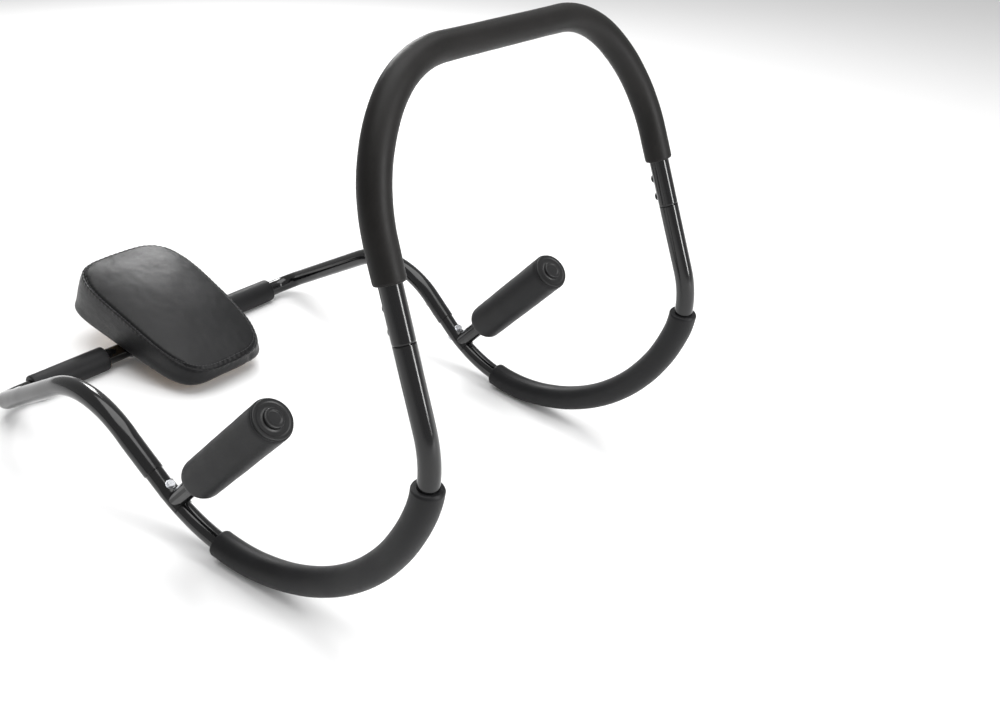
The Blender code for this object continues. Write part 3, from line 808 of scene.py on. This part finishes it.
def screwSeats(distances, towards, radius):
    spots = []
    for side in (1, -1):
        for at in distances:
            ahead = onSide(route.ahead(at), side)
            outward = (towards - ahead * towards.dot(ahead)).normalized()
            spots.append((onSide(route.point(at), side) + outward * (radius + 0.0002), outward))
    return spots


def makeJointScrews(metal):
    template = screwTemplate()
    back = math.radians(frameForm["lean"])
    rear = Vector((0, -math.cos(back), -math.sin(back)))
    spots = screwSeats([marks["joint"] - one for one in upperScrews], rear, tubeForm["outside"])
    upper = placeFasteners("upperScrews", spots, template, metal, 3)
    names = [f"{word}_upper_screw_{place}" for word in ("right", "left") for place in ("low", "high")]
    settle(upper, "frame", "black_screw", *names)
    start = marks["bends"] + tubeForm["railStart"]
    under = Vector((0, -0.6, -0.8))
    spots = screwSeats([start + one for one in railScrews], under, tubeForm["railOutside"])
    lower = placeFasteners("rearScrews", spots, template, metal, 5)
    names = [f"{word}_rear_screw_{place}" for word in ("right", "left") for place in ("front", "back")]
    settle(lower, "frame", "black_screw", *names)
    return template


def makeHandleBolts(zinc):
    reach = tubeForm["outside"] + 0.0003
    seat = reach + handleForm["saddleWall"] - 0.0004
    template = boltTemplate(seat + reach + 0.0065)
    nut = hexPrism("nutTemplate", 0.0058, 0.0, 0.0048)
    bolts, nuts = [], []
    for side in (1, -1):
        at = marks["bends"] - handleForm["boltBack"]
        ahead, spot = onSide(route.ahead(at), side), onSide(route.point(at), side)
        axis = handleAxis(side)
        outward = (axis - ahead * axis.dot(ahead)).normalized()
        bolts.append((spot + outward * seat, outward))
        nuts.append((spot - outward * reach, -outward))
    piece = placeFasteners("handleBolts", bolts, template, zinc, 8)
    settle(piece, "frame", "zinc_fastener", "right_handle_bolt", "left_handle_bolt")
    piece = placeFasteners("handleNuts", nuts, nut, zinc, 11)
    settle(piece, "frame", "zinc_fastener", "right_handle_nut", "left_handle_nut")
    bpy.data.objects.remove(template, do_unlink=True)
    bpy.data.objects.remove(nut, do_unlink=True)


padForm = {
    "lean": 10.1, "board": 0.027, "boardThick": 0.008, "length": 0.320, "width": 0.192, "taper": 0.149,
    "baseForward": 0.0228, "seamForward": 0.0323, "seamSlope": 8.4, "seamHeight": 0.0645, "arch": 0.29,
    "crown": 0.012, "topSquare": 3.7, "baseSquare": 5.4, "across": 36, "down": 58,
    "slack": 0.0028, "pressure": 4.0, "mostPuff": 0.006, "frames": 20,
    "seamDepth": 0.0045, "foldAt": -0.040, "foldDepth": 0.0018,
}
stitchForm = {
    "inset": 0.0048, "pitch": 0.0050, "length": 0.0036, "thick": 0.0011,
    "pucker": 0.0006, "puckerPitch": 0.0095,
}
mountForm = {"aside": 0.055, "ahead": 0.0235, "seat": 0.0023}  # pad screws
padPlace = Matrix.Translation(crossbarAxis) @ Matrix.Rotation(-math.radians(padForm["lean"]), 4, "X")


def seamLine(y):
    form = padForm
    fall = math.tan(math.radians(form["seamSlope"]))
    return form["board"] + form["seamHeight"] - fall * y - form["arch"] * y * y


def squareGrid():  # the unit square's cells, and its rim in order
    across, down = padForm["across"], padForm["down"]
    inside = {}
    for i in range(across + 1):
        for j in range(down + 1):
            inside[i, j] = (2 * i / across - 1, 2 * j / down - 1)
    rim = [(i, 0) for i in range(across)] + [(across, j) for j in range(down)]
    rim += [(across - i, down) for i in range(across)] + [(0, down - j) for j in range(down)]
    return inside, rim


def bowed(a, b, squareness):  # a point of the unit square to the rounded, tapered outline
    reach = max(abs(a), abs(b))
    if reach < 1e-9:
        return 0.0, 0.0
    x, y = a / reach, b / reach
    size = (abs(x) ** squareness + abs(y) ** squareness) ** (-1 / squareness)
    x, y = x * size * reach, y * size * reach
    y *= padForm["length"] / 2
    return x * padForm["width"] / 2 * (1 - padForm["taper"] * y / padForm["length"]), y


def padLevels():
    form = padForm
    base, board = form["board"], form["boardThick"]
    recess = base + board + 0.0006
    inset = 1 - 2 * 0.010 / form["width"]
    levels = [  # share of the outline, squareness, height, how far forward
        (inset, form["baseSquare"], lambda y: recess, form["baseForward"]),
        (inset, form["baseSquare"], lambda y: base + board * 0.5, form["baseForward"]),
        (inset, form["baseSquare"], lambda y: base + 0.0006, form["baseForward"]),
        (0.955, form["baseSquare"], lambda y: base, form["baseForward"]),
        (0.985, form["baseSquare"], lambda y: base + 0.0012, form["baseForward"]),
        (0.998, form["baseSquare"], lambda y: base + 0.005, form["baseForward"]),
    ]
    for share in (0.25, 0.4, 0.55, 0.7, 0.83):
        square = form["baseSquare"] + (form["topSquare"] - form["baseSquare"]) * share
        ahead = form["baseForward"] + (form["seamForward"] - form["baseForward"]) * share
        bulge = 1.0 + 0.008 * math.sin(math.pi * share)
        levels.append((bulge, square, lambda y, share=share: base + (seamLine(y) - base) * share, ahead))
    levels += [
        (1.002, form["topSquare"], lambda y: seamLine(y) - 0.0062, form["seamForward"]),
        (0.998, form["topSquare"], lambda y: seamLine(y) - 0.0030, form["seamForward"]),
        (0.988, form["topSquare"], lambda y: seamLine(y) - 0.0006, form["seamForward"]),
    ]
    return levels


def makeCushionShell(vinyl):
    inside, rim = squareGrid()
    levels = padLevels()
    form = padForm
    bm = bmesh.new()
    rows = []
    for share, square, height, forward in levels:
        row = []
        for key in rim:
            x, y = bowed(*inside[key], square)
            row.append(bm.verts.new(Vector((x * share, y * share + forward, height(y * share)))))
        rows.append(row)
    for row, after in zip(rows, rows[1:]):
        for index in range(len(row)):
            step = (index + 1) % len(row)
            bm.faces.new((row[index], row[step], after[step], after[index]))

    def lid(rimRow, square, share, height, forward):
        grid = {key: vert for key, vert in zip(rim, rimRow)}
        for key, (a, b) in inside.items():
            if key not in grid:
                x, y = bowed(a, b, square)
                reach = max(abs(a), abs(b))
                grid[key] = bm.verts.new(Vector((x * share, y * share + forward, height(y * share, reach))))
        for i in range(form["across"]):
            for j in range(form["down"]):
                bm.faces.new((grid[i, j], grid[i + 1, j], grid[i + 1, j + 1], grid[i, j + 1]))

    recess = levels[0]
    lid(rows[0], form["baseSquare"], recess[0], lambda y, reach: recess[2](y), form["baseForward"])
    seam = levels[-1]

    def crowned(y, reach):
        return seamLine(y) + form["crown"] * (1 - reach**2.2)

    lid(rows[-1], form["topSquare"], seam[0], crowned, seam[3])
    bmesh.ops.recalc_face_normals(bm, faces=bm.faces)
    mesh = bpy.data.meshes.new("headPadCushion")
    bm.to_mesh(mesh)
    bm.free()
    cushion = addPiece("headPadCushion", mesh)
    mesh.materials.append(vinyl)
    seamRow = len(levels) - 1
    count = len(rim)
    return cushion, [seamRow * count + index for index in range(count)]


def puff(cushion, held):  # pressure pushes the cover out between the board and the sewn seam
    form = padForm
    mesh = cushion.data
    before = [vertex.co.copy() for vertex in mesh.vertices]
    normals = [vertex.normal.copy() for vertex in mesh.vertices]
    top = form["board"] + form["boardThick"]
    for vertex, normal in zip(mesh.vertices, normals):
        loose = min(1.0, max(0.0, (vertex.co.z - top) / 0.012))
        vertex.co -= normal * form["slack"] * loose
    group = cushion.vertex_groups.new(name="held")
    for vertex in mesh.vertices:
        if before[vertex.index].z < top + 0.004:
            group.add([vertex.index], 1.0, "REPLACE")
    group.add(held, 0.85, "REPLACE")
    cloth = cushion.modifiers.new("cloth", "CLOTH")
    cloth.settings.quality = 6
    cloth.settings.mass = 0.4
    cloth.settings.tension_stiffness = 30
    cloth.settings.compression_stiffness = 30
    cloth.settings.shear_stiffness = 8
    cloth.settings.bending_stiffness = 1.5
    cloth.settings.use_pressure = True
    cloth.settings.uniform_pressure_force = form["pressure"]
    cloth.settings.vertex_group_mass = "held"
    cloth.settings.effector_weights.gravity = 0
    cloth.point_cache.frame_end = form["frames"]
    scene = bpy.context.scene
    for number in range(1, form["frames"] + 1):
        scene.frame_set(number)
    graph = bpy.context.evaluated_depsgraph_get()
    moved = [vertex.co.copy() for vertex in cushion.evaluated_get(graph).data.vertices]
    cushion.modifiers.clear()
    cushion.vertex_groups.clear()
    scene.frame_set(1)
    for vertex, start, end in zip(mesh.vertices, before, moved):
        step = end - start
        if step.length > form["mostPuff"]:
            step = step.normalized() * form["mostPuff"]
        vertex.co = start + step
    mesh.update()


def sewSeams(cushion, seam):  # the sewn edge sinks, and the band has one upright fold at the front
    form = padForm
    mesh = cushion.data
    normals = [mesh.vertices[index].normal.copy() for index in seam]
    for index, normal in zip(seam, normals):
        mesh.vertices[index].co -= normal * form["seamDepth"]
    front = form["seamForward"] + form["length"] * 0.40
    for vertex in mesh.vertices:
        near = abs(vertex.co.x - form["foldAt"])
        if vertex.co.y < front or near > 0.006 or vertex.co.z > seamLine(vertex.co.y) - 0.002:
            continue
        vertex.co.y -= form["foldDepth"] * (1 - near / 0.006)
    mesh.update()


def seamSamples():  # points along the sewn edge, and how far along it each one is
    form = padForm
    points = []
    for step in range(900):
        x, y = bowed(*squareDirection(2 * math.pi * step / 900), form["topSquare"])
        points.append(Vector((x * 0.988, y * 0.988 + form["seamForward"], seamLine(y * 0.988))))
    tree = KDTree(len(points))
    along = []
    travelled = 0.0
    for index, point in enumerate(points):
        tree.insert(point, index)
        travelled += (point - points[index - 1]).length if index else 0.0
        along.append(travelled)
    tree.balance()
    return tree, along


def makeCushion(vinyl):
    cushion, seam = makeCushionShell(vinyl)
    puff(cushion, seam)
    sewSeams(cushion, seam)
    smoothCage = cushion.modifiers.new("smooth", "SUBSURF")
    smoothCage.levels = 2
    smoothCage.render_levels = 2
    dropModifiers(cushion)
    mesh = cushion.data
    seamTree, seamAlong = seamSamples()
    normals = [vertex.normal.copy() for vertex in mesh.vertices]
    for vertex, normal in zip(mesh.vertices, normals):  # shallow creases of a cover pulled over foam
        place = vertex.co
        crease = noise.noise(Vector((place.x * 30, place.y * 22, place.z * 30)))
        fine = noise.noise(Vector((place.x * 90, place.y * 60, place.z * 90)))
        _, index, distance = seamTree.find(place)
        nearSeam = max(0.0, 1 - distance / 0.011)
        gather = math.sin(2 * math.pi * seamAlong[index] / stitchForm["puckerPitch"])
        vertex.co += normal * (0.0006 * crease + 0.0002 * fine + stitchForm["pucker"] * nearSeam * gather)
    mesh.shade_smooth()
    cushion.data.transform(padPlace)
    settle(cushion, "head_pad", "black_vinyl", "head_pad_cushion")
    return cushion


def stitchTree():
    sockets = (("Pitch", "Float"), ("Length", "Float"), ("Thick", "Float"), ("Thread", "Material"))
    tree, source = startTree("seamStitches", sockets)
    add, link = tree.nodes.new, tree.links.new
    line = add("GeometryNodeMeshToCurve")
    link(source.outputs["Geometry"], line.inputs[0])
    spaced = add("GeometryNodeResampleCurve")
    spaced.mode = "LENGTH"
    link(line.outputs[0], spaced.inputs["Curve"])
    link(source.outputs["Pitch"], spaced.inputs["Length"])
    ball = add("GeometryNodeMeshUVSphere")
    ball.inputs["Segments"].default_value = 8
    ball.inputs["Rings"].default_value = 6
    ball.inputs["Radius"].default_value = 0.5
    shape = add("ShaderNodeCombineXYZ")
    link(source.outputs["Thick"], shape.inputs[0])
    link(source.outputs["Thick"], shape.inputs[1])
    link(source.outputs["Length"], shape.inputs[2])
    tangent = add("GeometryNodeInputTangent")
    align = add("FunctionNodeAlignRotationToVector")
    align.axis = "Z"
    link(tangent.outputs[0], align.inputs["Vector"])
    copies = add("GeometryNodeInstanceOnPoints")
    link(spaced.outputs[0], copies.inputs["Points"])
    link(ball.outputs[0], copies.inputs["Instance"])
    link(align.outputs[0], copies.inputs["Rotation"])
    link(shape.outputs[0], copies.inputs["Scale"])
    return endTree(tree, copies, source.outputs["Thread"])


def makeStitches(cushion, thread):
    form = padForm
    surface = BVHTree.FromObject(cushion, bpy.context.evaluated_depsgraph_get())
    points = []
    share = 0.988 - 2 * stitchForm["inset"] / form["width"]
    count = 400
    for step in range(count):
        angle = 2 * math.pi * step / count
        x, y = bowed(*squareDirection(angle), form["topSquare"])
        guess = padPlace @ Vector((x * share, y * share + form["seamForward"], seamLine(y) + 0.03))
        hit, normal, _, _ = surface.ray_cast(guess, padPlace.to_3x3() @ Vector((0, 0, -1)))
        points.append(hit + normal * 0.0001)
    mesh = bpy.data.meshes.new("padStitches")
    mesh.from_pydata(points, [(index, (index + 1) % count) for index in range(count)], [])
    piece = addPiece("padStitches", mesh)
    sizes = {name.title(): stitchForm[name] for name in ("pitch", "length", "thick")}
    sizes["Thread"] = thread
    setInputs(piece, stitchTree(), sizes)
    dropModifiers(piece)
    piece.data.shade_smooth()
    settle(piece, "head_pad", "black_vinyl")


def squareDirection(angle):  # a point on the unit square's rim in a direction
    x, y = math.cos(angle), math.sin(angle)
    reach = max(abs(x), abs(y))
    return x / reach, y / reach


def makePadScrews(template, zinc):
    down = padPlace.to_3x3() @ Vector((0, 0, -1))
    spots = []
    for x in (mountForm["aside"], -mountForm["aside"]):
        for y in (mountForm["ahead"], -mountForm["ahead"]):
            spots.append((padPlace @ Vector((x, y, -mountForm["seat"])), down))
    piece = placeFasteners("padScrews", spots, template, zinc, 17)
    names = [f"{word}_pad_screw_{end}" for word in ("right", "left") for end in ("front", "rear")]
    settle(piece, "head_pad", "zinc_fastener", *names)


def repaint(finishes):
    for name, material in finishes.items():
        node = frame["nodes"][name]
        node.data.materials.clear()
        node.data.materials.append(material)


studio = {
    "camera": (0.8944, 1.0418, 0.9038), "focal": 36.83,
    "ahead": (-0.69318, -0.51953, -0.4996), "right": (-0.61773, 0.78535, 0.0404),
    "worldLight": 0.46, "floorColour": (0.93, 0.93, 0.93),
    "lights": (  # name, where, width, height, watts
        ("sideStrip", (-0.6, 3.0, 1.4), 0.5, 2.2, 60.0),
        ("overhead", (-0.2, 0.2, 3.6), 3.4, 3.4, 115.0),
        ("backBox", (-1.6, -2.3, 1.7), 0.6, 1.3, 42.0),
    ),
}


def makeStudio():
    world = bpy.data.worlds.new("studioWorld")
    world.use_nodes = True
    sky = world.node_tree.nodes["Background"]
    sky.inputs["Color"].default_value = (1, 1, 1, 1)
    sky.inputs["Strength"].default_value = studio["worldLight"]
    bpy.context.scene.world = world

    bm = bmesh.new()
    bmesh.ops.create_grid(bm, x_segments=8, y_segments=8, size=14.0)
    floorLook = Finish("studioFloor", Specular_IOR_Level=0.2)
    tone = floorLook.noise(1.5, 2.0)
    floorLook.colour(floorLook.mixed(tone * 0.15, studio["floorColour"], (0.88, 0.88, 0.88)))
    floorLook.gloss(floorLook.between(tone, 0.3, 0.7, 0.75, 0.85))
    floor = finishMesh("studioFloor", bm, floorLook.material)

    for name, where, wide, high, watts in studio["lights"]:
        data = bpy.data.lights.new(name, "AREA")
        data.shape = "RECTANGLE"
        data.size, data.size_y, data.energy = wide, high, watts
        lamp = bpy.data.objects.new(name, data)
        lamp.location = where
        lamp.rotation_euler = (Vector((0, 0, 0.3)) - Vector(where)).to_track_quat("-Z", "Y").to_euler()
        bpy.context.scene.collection.objects.link(lamp)


def makeCamera():
    ahead = Vector(studio["ahead"]).normalized()
    right = Vector(studio["right"])
    right = (right - ahead * right.dot(ahead)).normalized()
    up = right.cross(ahead)
    turn = Matrix((right, up, -ahead)).transposed().to_4x4()
    data = bpy.data.cameras.new("productCamera")
    data.sensor_width = 36.0
    data.lens = studio["focal"]
    camera = bpy.data.objects.new("productCamera", data)
    camera.matrix_world = Matrix.Translation(studio["camera"]) @ turn
    bpy.context.scene.collection.objects.link(camera)
    bpy.context.scene.camera = camera


def main():
    bpy.context.scene.view_settings.view_transform = "Standard"
    paint = paintFinish()
    charcoal = foamFinish("charcoalFoam", *foamLook["charcoal"])
    warm = foamFinish("warmBlackFoam", *foamLook["warmBlack"])
    vinyl = vinylFinish()
    plastic = plasticFinish("mouldedPlastic", (0.003, 0.003, 0.0034), (0.007, 0.007, 0.0075), 0.38)
    zinc = metalFinish("zincPlate", (0.72, 0.73, 0.75), (0.45, 0.46, 0.49), 0.22, 0.40)
    steel = metalFinish("strapSteel", (0.58, 0.58, 0.60), (0.36, 0.36, 0.38), 0.30, 0.50)
    blackSteel = blackSteelFinish()
    print("finishes made")

    makePushBar(paint)
    makeRearFrame(paint)
    makeGrip(warm)
    for side, word in ((1, "right"), (-1, "left")):
        makeRockerTube(side, word, paint)
        makeRockerFoam(side, word, charcoal)
        makeSleeve(side, word, charcoal)
        makeHandlePost(side, word, paint)
        makeHandleFoam(side, word, charcoal)
        makeEndPlug(side, word, plastic)
    print("tubes, foams and handles made")

    template = makeJointScrews(blackSteel)
    makeHandleBolts(zinc)
    makePadScrews(template, zinc)
    bpy.data.objects.remove(template, do_unlink=True)
    print("fasteners made")

    cushion = makeCushion(vinyl)
    makeStitches(cushion, threadFinish())
    print("head pad made")

    plywood = plywoodFinish()
    repaint({"head_pad_board": plywood, "right_pad_saddle": plastic, "left_pad_saddle": plastic,
             "right_pad_strap": steel, "left_pad_strap": steel})
    makeStudio()
    makeCamera()
    print("studio made")


main()
